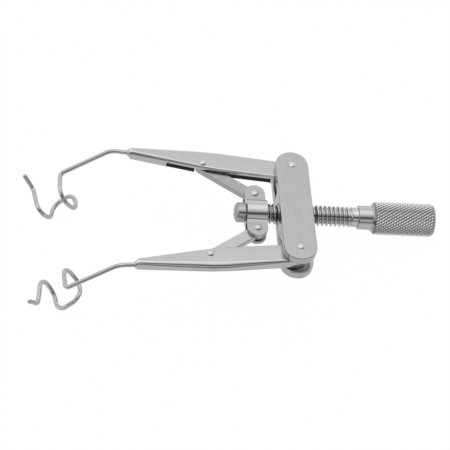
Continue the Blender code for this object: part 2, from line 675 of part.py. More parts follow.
def thumb_knob():
    """Hub and knurled grip in one piece, bored for the screw's shank."""
    knob = add_part("thumb_knob", knurled_grip("thumb_knob"), SATIN, (0, 0, 0), SCREW)
    overlap = KNOB_LENGTH / 4
    boolean(knob, add_cutter(
        "knob_hub", turned("knob_hub", [
            (0, HUB_FRONT_X), (HUB_RADIUS - HUB_EDGE, HUB_FRONT_X), (HUB_RADIUS, HUB_FRONT_X + HUB_EDGE),
            (HUB_RADIUS, KNOB_FRONT_X + overlap), (0, KNOB_FRONT_X + overlap)], 24, 'X'),
        (0, 0, 0), SCREW), 'UNION')
    boolean(knob, add_cutter(
        "knob_bore", cylinder("knob_bore", SHANK_RADIUS + SEAT_GAP, HUB_FRONT_X - HUB_LENGTH,
                              HUB_FRONT_X + SHANK_LENGTH + SEAT_GAP, 20, 'X'), (0, 0, 0), SCREW))
    return knob


# Blades

def blade_bends():
    """Corners and bend radii of one blade's wire, for the upper lid.

    From the arm it runs forward, drops along a slope, comes in over the lid, hooks under
    it, turns, hooks back up and leaves outward in a short raised tail. The slope's own
    directions are "ahead", along it, and "under", square to it.
    """
    socket_x = ARM_TIP_X + WIRE_SOCKET_DEPTH - SEAT_GAP
    socket = Vector((socket_x, wire_line(socket_x), 0))
    first = Vector((SHANK_BEND_X, wire_line(SHANK_BEND_X), 0))
    ahead = Vector((-math.cos(SHANK_DROP), 0, -math.sin(SHANK_DROP)))
    under = Vector((math.sin(SHANK_DROP), 0, -math.cos(SHANK_DROP)))
    inward = Vector((0, -1, 0))
    corner = first + ahead * SHANK_RUN
    over_rear = corner + inward * HOOK_REACH + ahead * HOOK_LEAN
    under_rear = over_rear + under * HOOK_DEPTH - inward * HOOK_SET
    under_reach = HOOK_REACH - HOOK_SET - TURN_REACH
    turn_rear = under_rear - inward * under_reach - under * TURN_LIFT
    turn_front = turn_rear + ahead * BLADE_WIDTH + under * TURN_LIFT
    under_front = turn_front + inward * under_reach - under * TURN_LIFT
    over_front = under_front - under * FRONT_DEPTH + inward * HOOK_SET
    tail = over_front - inward * HOOK_REACH + ahead * TAIL_SET
    end = tail - inward * TAIL_REACH - under * TAIL_RISE
    corners = [socket, first, corner, over_rear, under_rear, turn_rear, turn_front,
               under_front, over_front, tail, end]
    radii = [SHANK_BEND_RADIUS, CORNER_BEND, HOOK_RADIUS, HOOK_RADIUS, TURN_RADIUS, TURN_RADIUS,
             HOOK_RADIUS, HOOK_RADIUS, TAIL_BEND]
    return corners, radii


def blade_wire(lid, side, pivot):
    """One blade, bent from a single wire and brazed into the arm's nose."""
    name = f"blade_wire_{lid}"
    curve = bpy.data.curves.new(name, 'CURVE')
    curve.dimensions = '3D'
    curve.bevel_depth = WIRE_RADIUS
    curve.bevel_resolution = 2
    curve.use_fill_caps = True
    points = rounded_path(*blade_bends())
    spline = curve.splines.new('POLY')
    spline.points.add(len(points) - 1)
    for slot, point in zip(spline.points, points):
        slot.co = (point.x, side * (point.y - PIVOT_Y), point.z, 1)
    mesh = finish_mesh(evaluated_bmesh(add_object(name + "_path", curve, CUTTERS)), name)
    return add_part(name, mesh, POLISHED, (0, 0, 0), pivot)


# Resting pose

def resting_pose():
    """The tilt at which the blades' low bends and the knob's rim touch one plane."""
    wire = rounded_path(*blade_bends())
    last_peak_x = KNOB_REAR_X - KNOB_CHAMFER - (KNOB_LENGTH - 2 * KNOB_CHAMFER) / (2 * KNURLS_ALONG)

    def heights(tilt):
        low_wire = min(p.z * math.cos(tilt) - p.x * math.sin(tilt) for p in wire) - WIRE_RADIUS
        rim = -KNOB_RADIUS * math.cos(tilt) - last_peak_x * math.sin(tilt)
        return low_wire, rim

    low, high = 0.0, math.radians(45)
    for _ in range(40):
        tilt = (low + high) / 2
        low_wire, rim = heights(tilt)
        if low_wire < rim:
            low = tilt
        else:
            high = tilt
    front = min(p.x * math.cos(tilt) + p.z * math.sin(tilt) for p in wire) - WIRE_RADIUS / 2
    rear = KNOB_REAR_X * math.cos(tilt) + (KNOB_RADIUS - KNOB_CHAMFER) * math.sin(tilt)
    return tilt, Vector((-(front + rear) / 2, 0, -min(heights(tilt))))


clear_scene()
PARTS = new_collection("eye_speculum")
CUTTERS = new_collection("cutters")

MECHANISM = add_empty("resting_mechanism", (0, 0, 0), None)
rest_tilt, MECHANISM.location = resting_pose()
MECHANISM.rotation_euler = (0, rest_tilt, 0)
YOKE = add_empty("yoke_slide", (0, 0, 0), MECHANISM)
SCREW = add_empty("screw_axis", (0, 0, 0), YOKE)

bridge_plate("bridge_plate_top", 1)
bridge_plate("bridge_plate_bottom", -1)
bridge_nut()
yoke_plate("yoke_plate_top", 1)
yoke_plate("yoke_plate_bottom", -1)
drive_screw()
end_button()
thumb_knob()
for lid_name, lid_sign in EYELIDS.items():
    pivot_rivet(lid_name, lid_sign)
    arm_pivot = add_empty(f"arm_pivot_{lid_name}", (0, lid_sign * PIVOT_Y, 0), MECHANISM)
    arm(lid_name, lid_sign, arm_pivot)
    blade_wire(lid_name, lid_sign, arm_pivot)
    link_pin = add_empty(f"link_pivot_{lid_name}",
                         (LINK_PIN_X, lid_sign * (LINK_PIN_Y - PIVOT_Y), 0), arm_pivot)
    riveted(f"link_rivet_{lid_name}", LINK_PIN_RADIUS, ARM_THICKNESS / 2, LINK_BOTTOM_Z,
            (0, 0, 0), link_pin)
    link(lid_name, lid_sign, link_pin)
    riveted(f"yoke_rivet_{lid_name}", YOKE_PIN_RADIUS, LINK_TOP_Z + RUN_GAP + EAR_THICKNESS,
            LINK_BOTTOM_Z - RUN_GAP - EAR_THICKNESS, (YOKE_PIN_X, lid_sign * YOKE_PIN_Y, 0), YOKE)
bpy.context.view_layer.update()
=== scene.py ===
import json
import math

import bmesh
import bpy
from mathutils import Matrix, Vector

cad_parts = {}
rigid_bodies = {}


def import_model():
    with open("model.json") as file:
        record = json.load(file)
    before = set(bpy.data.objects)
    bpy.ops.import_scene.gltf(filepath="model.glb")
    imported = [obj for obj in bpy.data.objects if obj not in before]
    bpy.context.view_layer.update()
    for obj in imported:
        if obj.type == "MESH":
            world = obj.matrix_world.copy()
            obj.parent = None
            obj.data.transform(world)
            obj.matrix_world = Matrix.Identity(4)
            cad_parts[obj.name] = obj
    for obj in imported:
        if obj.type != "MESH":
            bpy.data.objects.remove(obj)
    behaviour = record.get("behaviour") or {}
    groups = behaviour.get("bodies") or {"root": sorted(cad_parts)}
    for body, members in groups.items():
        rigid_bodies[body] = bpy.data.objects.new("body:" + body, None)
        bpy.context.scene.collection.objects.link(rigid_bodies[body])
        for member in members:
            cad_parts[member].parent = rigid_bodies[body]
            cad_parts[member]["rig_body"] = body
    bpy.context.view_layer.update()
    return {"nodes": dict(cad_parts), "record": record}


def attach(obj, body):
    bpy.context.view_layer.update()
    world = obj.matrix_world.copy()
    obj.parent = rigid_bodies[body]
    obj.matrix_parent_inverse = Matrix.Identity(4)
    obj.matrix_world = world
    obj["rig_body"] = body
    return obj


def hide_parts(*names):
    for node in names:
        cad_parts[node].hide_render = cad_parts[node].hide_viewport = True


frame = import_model()
MM = 0.001

# Sizes of the part that its finer pieces repeat, and how finely they are cut
PLATE_FACE_Z = 2.85 * MM
PIVOT_Y = 9.6 * MM
PIVOT_PIN = (0.75 * MM, 0.26 * MM)           # radius, crown
RIVET_HEAD = (0.77 * MM, 0.34 * MM)          # radius, crown
RIVET_TAIL = (0.20 * MM, 0.11 * MM)          # height, edge
PIN_SIDES = 48
SEAT_GAP = 0.03 * MM
RUN_GAP = 0.10 * MM
ARM_TOP_Z = 1.1 * MM
LINK_TOP_Z = 0.2 * MM
LINK_BOTTOM_Z = -1.0 * MM
EAR_THICKNESS = 0.60 * MM
LINK_PIN = (-16.1 * MM, 10.6 * MM, 0.45 * MM)      # x, y, radius
YOKE_PIN = (-7.0 * MM, 4.0 * MM, 0.50 * MM)        # x, y, radius
RECESS_X = (-22.7 * MM, -3.5 * MM)                 # just past its two ends
ROOF_Z = 0.30 * MM                                 # underside of the recess's roof
THREAD_PITCH = 0.80 * MM
THREAD_RADIUS = 1.87 * MM
THREAD_CORE = 1.43 * MM
THREAD_X = (-5.05 * MM, 9.3 * MM, 10.9 * MM)       # start, end of full thread, end of run-out
JOURNAL_RADIUS = 1.35 * MM
NECK_RADIUS = 1.77 * MM
THREAD_COLUMNS = 48
SPIGOT_RADIUS = 0.90 * MM
SPIGOT_EDGE = 0.05 * MM
SPIGOT_X = -10.25 * MM
SHANK_RADIUS = 1.55 * MM
SHANK_END_X = 20.65 * MM
BUTTON_X = (-11.0 * MM, -8.95 * MM)
BUTTON_RADIUS = 1.80 * MM
BUTTON_CROWN = 0.75 * MM
BUTTON_EDGE = 0.15 * MM
BUTTON_SIDES = 56
HUB_X = 11.65 * MM
HUB_RADIUS = 2.17 * MM
HUB_EDGE = 0.12 * MM
KNOB_X = (14.25 * MM, 25.65 * MM)
KNOB_RADIUS = 3.0 * MM
KNOB_CHAMFER = 0.30 * MM
KNURL_DEPTH = 0.20 * MM
KNURL_HEIGHT = 0.19 * MM                           # just under the CAD's peaks
KNURLS = (32, 12)                                  # around, along
KNURL_STEPS = 4                                    # from a groove's bottom to half way on
KNURL_FLAT = 0.85                                  # share of the full ridge that is left
KNURL_CROSSING = 0.30                              # how far the second cut's bottom rises
PLAIN_BAND = 0.10 * MM                             # at the knurl's ends, finished like it
WIRE_RADIUS = 0.41 * MM
WIRE_SIDES = 20
WIRE_TIP = (0.8, 6)                                # length in radii, steps

# The thread's section over one turn: millimetres from the crest's middle, radius
THREAD_CUT = [(-0.40, THREAD_CORE), (-0.31, THREAD_CORE), (-0.25, THREAD_CORE + 0.05 * MM),
              (-0.12, THREAD_RADIUS - 0.04 * MM), (-0.07, THREAD_RADIUS), (0.07, THREAD_RADIUS),
              (0.12, THREAD_RADIUS - 0.04 * MM), (0.25, THREAD_CORE + 0.05 * MM),
              (0.31, THREAD_CORE)]

# The upper blade's wire, in millimetres and degrees
WIRE_SOCKET_X = -26.23
WIRE_FIRST_X = -32.6
WIRE_NOSE = (-29.0, 13.045)                        # where it leaves the arm: x, y
WIRE_LEAN = 5.8                                    # of the first run, outward
WIRE_DROP = 39.5                                   # of the shank, downward
SHANK_RUN = 11.05
HOOK_REACH = 5.9                                   # of the strands over the lid, inward
HOOK_LEAN = (0.3, 0.9)                             # of those strands ahead: rear, front
HOOK_DEPTH = (5.85, 4.2)                           # down to the strands under the lid: rear, front
HOOK_SET = 1.2                                     # how far these stay back at the hooks
HOOK_TURN = (3.7, 0.9)                             # under the lid: outward, raised
BLADE_WIDTH = 5.15                                 # from the rear strands to the front ones
HOOK_TAIL = (1.4, 3.05)                            # outward, up
WIRE_BEND_RADII = [3.1, 0.92, 2.7, 2.7, 2.4, 2.4, 2.7, 2.7, 1.2]

# The mechanism's own axes in the resting pose: +X to the knob, +Y to the upper arm,
# +Z out of the bridge's face, origin at the middle of the nut.
joints = {joint["name"]: joint for joint in frame["record"]["behaviour"]["joints"]}
upper_pivot = Vector(joints["upper_arm_hinge"]["pos_m"])
lower_pivot = Vector(joints["lower_arm_hinge"]["pos_m"])
along = -Vector(joints["yoke_slide"]["axis"])
outward = Vector(joints["lower_arm_hinge"]["axis"])
REST = Matrix((along, outward.cross(along), outward)).transposed().to_4x4()
REST.translation = (upper_pivot + lower_pivot) / 2


# Camera

# The photograph's camera in the mechanism's axes
LENS_SIDE = Vector((-0.15846, -0.63781, 0.75371))  # from the object towards the lens
CAMERA_RIGHT = Vector((0.98648, -0.07001, 0.14816))
CAMERA_PLACE = Vector((-0.100631, -0.356591, 0.417716))
SENSOR_WIDTH = 36.0
FOCAL_LENGTH = 247.74


def add_camera():
    """The photograph's viewpoint: on the lower arm's side, about 49 degrees up."""
    basis = Matrix((CAMERA_RIGHT, LENS_SIDE.cross(CAMERA_RIGHT), LENS_SIDE)).transposed().to_4x4()
    basis.translation = CAMERA_PLACE
    data = bpy.data.cameras.new("camera")
    data.sensor_width = SENSOR_WIDTH
    data.lens = FOCAL_LENGTH
    data.clip_start = 0.01
    data.clip_end = 20.0
    camera = bpy.data.objects.new("camera", data)
    bpy.context.scene.collection.objects.link(camera)
    camera.matrix_world = REST @ basis
    bpy.context.scene.camera = camera


add_camera()


# Node helpers

class Graph:
    """A short way to write a node tree."""

    def __init__(self, tree):
        self.tree = tree

    def add(self, kind, *inputs, **settings):
        node = self.tree.nodes.new(kind)
        for key, value in settings.items():
            setattr(node, key, value)
        for i, value in enumerate(inputs):
            self.feed(node.inputs[i], value)
        return node

    def feed(self, socket, value):
        if isinstance(value, bpy.types.NodeSocket):
            self.tree.links.new(value, socket)
        elif isinstance(value, bpy.types.Node):
            self.tree.links.new(value.outputs[0], socket)
        else:
            socket.default_value = value

    def math(self, operation, *inputs):
        return self.add("ShaderNodeMath", *inputs, operation=operation).outputs[0]

    def noise(self, vector, scale, detail=3.0, roughness=0.5):
        node = self.add("ShaderNodeTexNoise", vector)
        node.inputs["Scale"].default_value = scale
        node.inputs["Detail"].default_value = detail
        node.inputs["Roughness"].default_value = roughness
        return node.outputs[0]

    def mapped(self, value, low, high, start=0.25, end=0.75, smooth=False):
        """Maps start to end, by default a noise's usual span, onto low to high."""
        node = self.add("ShaderNodeMapRange", value, start, end, low, high)
        node.interpolation_type = 'SMOOTHSTEP' if smooth else 'LINEAR'
        return node.outputs[0]

    def bump(self, height, normal, depth):
        """Relief of that depth in metres over a noise's full swing."""
        node = self.add("ShaderNodeBump")
        node.inputs["Strength"].default_value = 1.0
        node.inputs["Distance"].default_value = depth
        self.feed(node.inputs["Height"], height)
        self.feed(node.inputs["Normal"], normal)
        return node.outputs["Normal"]


# World and floor

# The tent's light is (low down, high up) between two heights of the unit direction.
TENT_LIGHT = (1.02, 0.90)
TENT_HEIGHTS = (0.10, 0.70)
# What darkens its front: (share taken, where it begins, where it is full)
OPEN_FRONT = (0.30, 0.10, 0.62)
FRONT_GAP = (0.62, 0.30, 0.70)
GAP_HEIGHTS = (0.06, 0.28)
# Round patches: (direction, outer and inner half angle in degrees, share added or taken)
SOFTBOX = ((0.10, 0.24, 0.97), 32, 12, 0.42)
STAND = ((0.30, -0.68, 0.67), 16, 5, 0.78)
LENS = (REST.to_3x3() @ LENS_SIDE, 13, 7, 0.85)
ROOM_RIGHT = ((0.82, -0.42, 0.38), 45, 16, 0.58)
ROOM_LEFT = ((-0.42, -0.82, 0.38), 27, 10, 0.66)

FLOOR_SIZE = 5.0
CLOTH_TONE = (0.80, 0.82)
CLOTH_SCALE = 40.0
MIRRORED_CLOTH = (0.15, 0.80)          # in front of the table's edge, behind it
TABLE_EDGE_Y = (-0.055, -0.025)
SHARE_SEEN = 0.99                      # of plain white, by the lens
SHARE_MIRRORED = 0.75


def add_world():
    """A white tent lit from behind and above, darker in front, where lens and stand look in."""
    world = bpy.data.worlds.new("studio")
    bpy.context.scene.world = world
    world.use_nodes = True
    tree = world.node_tree
    tree.nodes.clear()
    g = Graph(tree)
    direction = g.add("ShaderNodeTexCoord").outputs["Generated"]
    axes = g.add("ShaderNodeSeparateXYZ", direction)
    front = g.math('MULTIPLY', axes.outputs[1], -1.0)
    z = axes.outputs[2]

    def patch(aim, outer, inner, share):
        """0 outside a cone about aim, the share well inside it."""
        turn = g.add("ShaderNodeVectorMath", direction, tuple(aim), operation='DOT_PRODUCT')
        return g.mapped(turn.outputs["Value"], 0.0, share, math.cos(math.radians(outer)),
                        math.cos(math.radians(inner)), True)

    def toward_front(share, start, end):
        return g.mapped(front, 0.0, share, start, end, True)

    def product(value, *factors):
        for factor in factors:
            value = g.math('MULTIPLY', value, factor)
        return value

    gap = product(toward_front(*FRONT_GAP), g.mapped(z, 1.0, 0.0, *GAP_HEIGHTS, True))
    darks = [toward_front(*OPEN_FRONT), gap, patch(*STAND), patch(*LENS),
             patch(*ROOM_RIGHT), patch(*ROOM_LEFT)]
    tent = g.math('ADD', g.mapped(z, *TENT_LIGHT, *TENT_HEIGHTS), patch(*SOFTBOX))
    light = product(tent, *(g.math('SUBTRACT', 1.0, dark) for dark in darks))
    g.add("ShaderNodeOutputWorld", g.add("ShaderNodeBackground", light, 1.0))


def add_floor():
    """A white table under the object, which mirrors grey where its front edge lies."""
    bm = bmesh.new()
    bmesh.ops.create_grid(bm, x_segments=8, y_segments=8, size=FLOOR_SIZE)
    mesh = bpy.data.meshes.new("table")
    bm.to_mesh(mesh)
    bm.free()
    floor = bpy.data.objects.new("table", mesh)
    bpy.context.scene.collection.objects.link(floor)
    material = bpy.data.materials.new("table_white")
    material.use_nodes = True
    tree = material.node_tree
    tree.nodes.clear()
    g = Graph(tree)
    place = g.add("ShaderNodeTexCoord").outputs["Object"]
    cloth = g.add("ShaderNodeBsdfDiffuse", g.mapped(g.noise(place, CLOTH_SCALE), *CLOTH_TONE))
    path = g.add("ShaderNodeLightPath")
    seen_by_lens = path.outputs["Is Camera Ray"]
    mirrored = g.math('ADD', path.outputs["Is Glossy Ray"], path.outputs["Is Transmission Ray"])
    depth = g.add("ShaderNodeSeparateXYZ", place).outputs[1]
    table = g.mapped(depth, *MIRRORED_CLOTH, *TABLE_EDGE_Y, True)
    glow = g.add("ShaderNodeEmission", (1, 1, 1, 1), g.math('MAXIMUM', seen_by_lens, table))
    seen = g.math('ADD', g.math('MULTIPLY', seen_by_lens, SHARE_SEEN),
                  g.math('MULTIPLY', mirrored, SHARE_MIRRORED))
    g.add("ShaderNodeOutputMaterial", g.add("ShaderNodeMixShader", seen, cloth, glow))
    mesh.materials.append(material)


add_world()
add_floor()
bpy.context.scene.view_settings.view_transform = 'Standard'


# Steel

CLOUD_SCALE = 420.0              # of the slow changes in tone
PIT_SCALE = 5200.0               # of the blasted skin
ROUGHNESS_SWING = 0.02
BLASTED_SKIN = (0.14, 0.14)      # how much darker and how much rougher it is
BLASTED_BLEND = 0.2 * MM         # either side of where it leaves off
# Tone that edges brighten towards: partly wear, partly painted highlight
WORN_AND_HIGHLIGHT_TONE = (0.90, 0.90, 0.90, 1)
EDGE_TURN = (0.80, 0.995)        # cosines of the softened normal at a worn, highlit edge and on a face
FAR_SHADE_SHARE = 0.42                  # share of the painted shade in the hollows that lies beyond its reach


def steel(name, tone, rough, lines=0.0, stretch=(1, 1, 1), fineness=9000, relief=0.0, sand=0.0,
          mottle=0.02, edge=0.05, edge_wear_and_highlight=0.10, shade_in_hollows=None, plain_within=0.0):
    """Stainless steel, ground or turned in one direction, or blasted, brighter at its edges by
    wear and by painted highlight.

    lines is the grain's direction in the mechanism's plane, in degrees from the screw, and
    stretch how long it is drawn along each axis. fineness is the grain's scale, relief and
    sand are depths in micrometres, edge is the softened width in millimetres, and the argument
    after it says how far edges brighten, partly as wear and partly as painted highlight. The
    darkening near the screw's axis is painted shade in the hollows of thread and knurl: (radius
    of the dark, radius of the bright, how dark, how far from the nut it is full or 0 for all).
    Within plain_within of the axis the skin isn't blasted.
    """
    material = bpy.data.materials.new(name)
    material.use_nodes = True
    tree = material.node_tree
    shader = tree.nodes["Principled BSDF"]
    shader.inputs["Metallic"].default_value = 1.0
    g = Graph(tree)
    place = g.add("ShaderNodeMapping", g.add("ShaderNodeTexCoord").outputs["Object"])
    place.inputs["Location"].default_value = REST.inverted().translation
    place.inputs["Rotation"].default_value = REST.to_3x3().inverted().to_euler()
    turned = g.add("ShaderNodeMapping", place)
    turned.inputs["Rotation"].default_value = (0, 0, -math.radians(lines))
    drawn = g.add("ShaderNodeMapping", turned)
    drawn.inputs["Scale"].default_value = [1 / length for length in stretch]
    cloudy = g.noise(place.outputs[0], CLOUD_SCALE, 4.0, 0.6)
    streaks = g.noise(drawn.outputs[0], fineness / 4, 2.0, 0.5)
    grain = g.noise(drawn.outputs[0], fineness, 2.0, 0.5)
    spots = g.math('ADD', g.math('MULTIPLY', cloudy, 0.5), g.math('MULTIPLY', streaks, 0.5))
    soft = g.add("ShaderNodeBevel", edge * MM)
    true_normal = g.add("ShaderNodeNewGeometry").outputs["True Normal"]
    facing = g.add("ShaderNodeVectorMath", soft.outputs[0], true_normal, operation='DOT_PRODUCT')
    at_edge = g.mapped(facing.outputs["Value"], 1.0, 0.0, *EDGE_TURN, True)

    shade = g.add("ShaderNodeMix", spots, data_type='RGBA')
    shade.inputs[6].default_value = (*(c * (1 - 2 * mottle) for c in tone), 1)
    shade.inputs[7].default_value = (*(c * (1 + 2 * mottle) for c in tone), 1)
    # Edges brighten towards that tone: partly wear, partly painted highlight
    worn_and_highlit = g.add("ShaderNodeMix", g.math('MULTIPLY', at_edge, edge_wear_and_highlight), data_type='RGBA')
    g.feed(worn_and_highlit.inputs[6], shade.outputs[2])
    worn_and_highlit.inputs[7].default_value = WORN_AND_HIGHLIGHT_TONE
    colour = worn_and_highlit.outputs[2]

    def darker(colour, share):
        node = g.add("ShaderNodeMix", 1.0, data_type='RGBA', blend_type='MULTIPLY')
        g.feed(node.inputs[6], colour)
        g.feed(node.inputs[7], g.math('SUBTRACT', 1.0, share))
        return node.outputs[2]

    axes = g.add("ShaderNodeSeparateXYZ", place)
    if sand:
        blasted = g.mapped(g.math('ABSOLUTE', axes.outputs[1]), 0.0, 1.0,
                           plain_within - BLASTED_BLEND, plain_within + BLASTED_BLEND, True)
        colour = darker(colour, g.math('MULTIPLY', blasted, BLASTED_SKIN[0]))
    # Painted shade in the hollows near the screw's axis, the thread's roots and the knurl's pits,
    # fullest near the nut where a reach is given
    if shade_in_hollows:
        dark, bright, share, reach = shade_in_hollows
        radius = g.math('SQRT', g.math('ADD', g.math('POWER', axes.outputs[1], 2.0),
                                       g.math('POWER', axes.outputs[2], 2.0)))
        hollow_shade = g.mapped(radius, share, 0.0, dark, bright, True)
        if reach:
            off_nut = g.math('ABSOLUTE', axes.outputs[0])
            thinning = g.mapped(off_nut, 1.0, FAR_SHADE_SHARE, reach, reach + MM, True)
            hollow_shade = g.math('MULTIPLY', hollow_shade, thinning)
        colour = darker(colour, hollow_shade)
    tree.links.new(colour, shader.inputs["Base Color"])

    spread = g.math('ADD', g.mapped(spots, rough - ROUGHNESS_SWING, rough + ROUGHNESS_SWING),
                    g.mapped(grain, -ROUGHNESS_SWING, ROUGHNESS_SWING))
    spread = g.math('SUBTRACT', spread, g.math('MULTIPLY', at_edge, edge_wear_and_highlight * rough))
    normal = soft.outputs[0]
    if relief:
        normal = g.bump(grain, normal, relief * 1e-6)
    if sand:
        pits = g.math('MULTIPLY', g.noise(place.outputs[0], PIT_SCALE, 2.0, 0.7), blasted)
        normal = g.bump(pits, normal, sand * 1e-6)
        spread = g.math('ADD', spread, g.math('MULTIPLY', blasted, BLASTED_SKIN[1]))
    tree.links.new(spread, shader.inputs["Roughness"])
    tree.links.new(normal, shader.inputs["Normal"])
    return material


def grey(level):
    """Stainless steel's slightly cool grey."""
    return level * 0.995, level, level * 1.008


PLATE = steel("satin_plate_steel", grey(0.505), 0.18, lines=90, stretch=(16, 1, 1),
              fineness=12000, relief=0.8, mottle=0.06, edge=0.07, edge_wear_and_highlight=0.40)
ARM = steel("satin_arm_steel", grey(0.565), 0.13, lines=4, stretch=(16, 1, 1),
            fineness=12000, relief=0.6, mottle=0.04, edge=0.07, edge_wear_and_highlight=0.45)
# The upper link's copy of the link steel is darker than the lower link's: painted shade
LINK_UPPER_SHADED = steel("satin_link_steel_painted_shade", grey(0.43), 0.17, lines=62, stretch=(12, 1, 1),
                   fineness=6000, relief=8.0, mottle=0.10, edge=0.08, edge_wear_and_highlight=0.70)
LINK_LOWER = steel("satin_lower_link_steel", grey(0.565), 0.19, lines=118, stretch=(12, 1, 1),
                   fineness=6000, relief=2.0, mottle=0.05, edge=0.08, edge_wear_and_highlight=0.50)
TURNED = steel("satin_turned_steel", grey(0.55), 0.15, stretch=(1, 8, 8), relief=1.2)
BUTTON = steel("turned_button_steel", grey(0.42), 0.18, stretch=(1, 8, 8), relief=1.5,
               mottle=0.06)
POLISHED = steel("polished_steel", grey(0.63), 0.06, relief=0.3, edge=0.03)
# The thread's roots get painted shade, fullest near the nut
SCREW = steel("polished_screw_steel", grey(0.62), 0.07, stretch=(1, 6, 6), relief=0.3,
              edge=0.02, shade_in_hollows=(1.50 * MM, 1.84 * MM, 0.80, 3.6 * MM))
WIRE = steel("drawn_wire_steel", grey(0.52), 0.06, fineness=7000, relief=0.5, edge=0.03)
BLASTED = steel("blasted_steel", grey(0.555), 0.14, lines=90, sand=26.0, mottle=0.05,
                edge=0.09, edge_wear_and_highlight=0.40, plain_within=2.45 * MM)
# The knurl's pits get painted shade
KNURLED = steel("knurled_steel", grey(0.76), 0.09, stretch=(1, 6, 6), relief=0.6,
                edge=0.02, edge_wear_and_highlight=0.2, shade_in_hollows=(2.79 * MM, 2.94 * MM, 0.82, 0))
# Near-black painted shade for the faces inside the arms' recesses
RECESS_SHADE = steel("painted_recess_shade_steel", grey(0.012), 0.50, stretch=(14, 1, 1), relief=3.0,
                 edge_wear_and_highlight=0.0)


# Shapes

def skin(rows, columns, point, split=None):
    """A tube of faces through point(row, column), cut into triangles where split is given."""
    bm = bmesh.new()
    grid = [[bm.verts.new(point(row, column)) for column in range(columns)] for row in range(rows)]
    for row in range(rows - 1):
        for column in range(columns):
            after = (column + 1) % columns
            corners = [grid[row][column], grid[row][after],
                       grid[row + 1][after], grid[row + 1][column]]
            if split is None:
                bm.faces.new(corners)
            elif split(row, column):
                bm.faces.new(corners[:3])
                bm.faces.new((corners[0], *corners[2:]))
            else:
                bm.faces.new((*corners[:2], corners[3]))
                bm.faces.new(corners[1:])
    return bm


def close(bm):
    """Fills a tube's two ends where it doesn't run to a point."""
    bmesh.ops.remove_doubles(bm, verts=bm.verts, dist=1e-8)
    rims = [e for e in bm.edges if e.is_boundary]
    if rims:
        bmesh.ops.holes_fill(bm, edges=rims, sides=0)


def as_mesh(bm, name, angle):
    """The finished mesh in the resting place, smooth but for edges sharper than the angle."""
    bmesh.ops.recalc_face_normals(bm, faces=bm.faces)
    mesh = bpy.data.meshes.new(name)
    bm.to_mesh(mesh)
    bm.free()
    mesh.transform(REST)
    mesh.shade_smooth()
    mesh.set_sharp_from_angle(angle=math.radians(angle))
    return mesh


def show(mesh, node, *finishes):
    """Puts a finished mesh in the place of a CAD piece."""
    for finish in finishes:
        mesh.materials.append(finish)
    piece = bpy.data.objects.new(node + "_fine", mesh)
    bpy.context.scene.collection.objects.link(piece)
    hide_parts(node)
    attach(piece, frame["nodes"][node]["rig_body"])
    return piece


def broken_edge(radius, place, size, into):
    """Two points of the broken rim of an end face at place. into is 1 or -1, into the body."""
    return [(radius - size, place), (radius - 0.3 * size, place + into * 0.3 * size)]


def dome(radius, crown, base, sweep=90, steps=12):
    """A dome's outline from its middle to its rim, as (radius, height).

    With 90 degrees of sweep its rim stands upright, and with less it meets its base aslant.
    """
    angles = [math.radians(sweep) * i / steps for i in range(steps + 1)]
    width, drop = math.sin(angles[-1]), 1 - math.cos(angles[-1])
    return [(radius * math.sin(a) / width, base + crown * (1 - (1 - math.cos(a)) / drop))
            for a in angles]


def turned(profile, sides, about_x=False, centre=(0, 0)):
    """A turned body about Z at centre, or about the screw's axis."""
    def point(row, column):
        radius, height = profile[row]
        angle = 2 * math.pi * column / sides
        if about_x:
            return height, radius * math.sin(angle), -radius * math.cos(angle)
        return centre[0] + radius * math.cos(angle), centre[1] + radius * math.sin(angle), height

    bm = skin(len(profile), sides, point)
    close(bm)
    return bm


# Rivets and button

def rivet(node, radius, top, bottom, centre):
    """A domed head, its shank and a flat riveted tail."""
    head, tail = top + SEAT_GAP, bottom - SEAT_GAP
    height, edge = RIVET_TAIL
    profile = dome(*RIVET_HEAD, head, 50) + [
        (radius, head), (radius, tail), (RIVET_HEAD[0], tail),
        (RIVET_HEAD[0] - edge * 0.3, tail - height * 0.6), (RIVET_HEAD[0] - edge, tail - height),
        (0, tail - height)]
    show(as_mesh(turned(profile, PIN_SIDES, centre=centre), node, 40), node, POLISHED)


def pivot_pin(node, centre):
    """A pin peened to a low crown at each end."""
    crown = dome(*PIVOT_PIN, PLATE_FACE_Z, 45)
    profile = crown + [(radius, -height) for radius, height in reversed(crown)]
    show(as_mesh(turned(profile, PIN_SIDES, centre=centre), node, 40), node, POLISHED)


def button():
    """The domed button at the screw's end."""
    front, rear = BUTTON_X
    profile = [(radius, front + BUTTON_CROWN - height)
               for radius, height in dome(BUTTON_RADIUS, BUTTON_CROWN, 0)]
    profile += [(BUTTON_RADIUS, rear - BUTTON_EDGE)]
    profile += reversed(broken_edge(BUTTON_RADIUS, rear, BUTTON_EDGE, -1))
    profile += [(SPIGOT_RADIUS + SEAT_GAP, rear),
                (SPIGOT_RADIUS + SEAT_GAP, SPIGOT_X - SEAT_GAP), (0, SPIGOT_X - SEAT_GAP)]
    node = "screw_end_button"
    show(as_mesh(turned(profile, BUTTON_SIDES, True), node, 20), node, BUTTON)


# Screw and knob

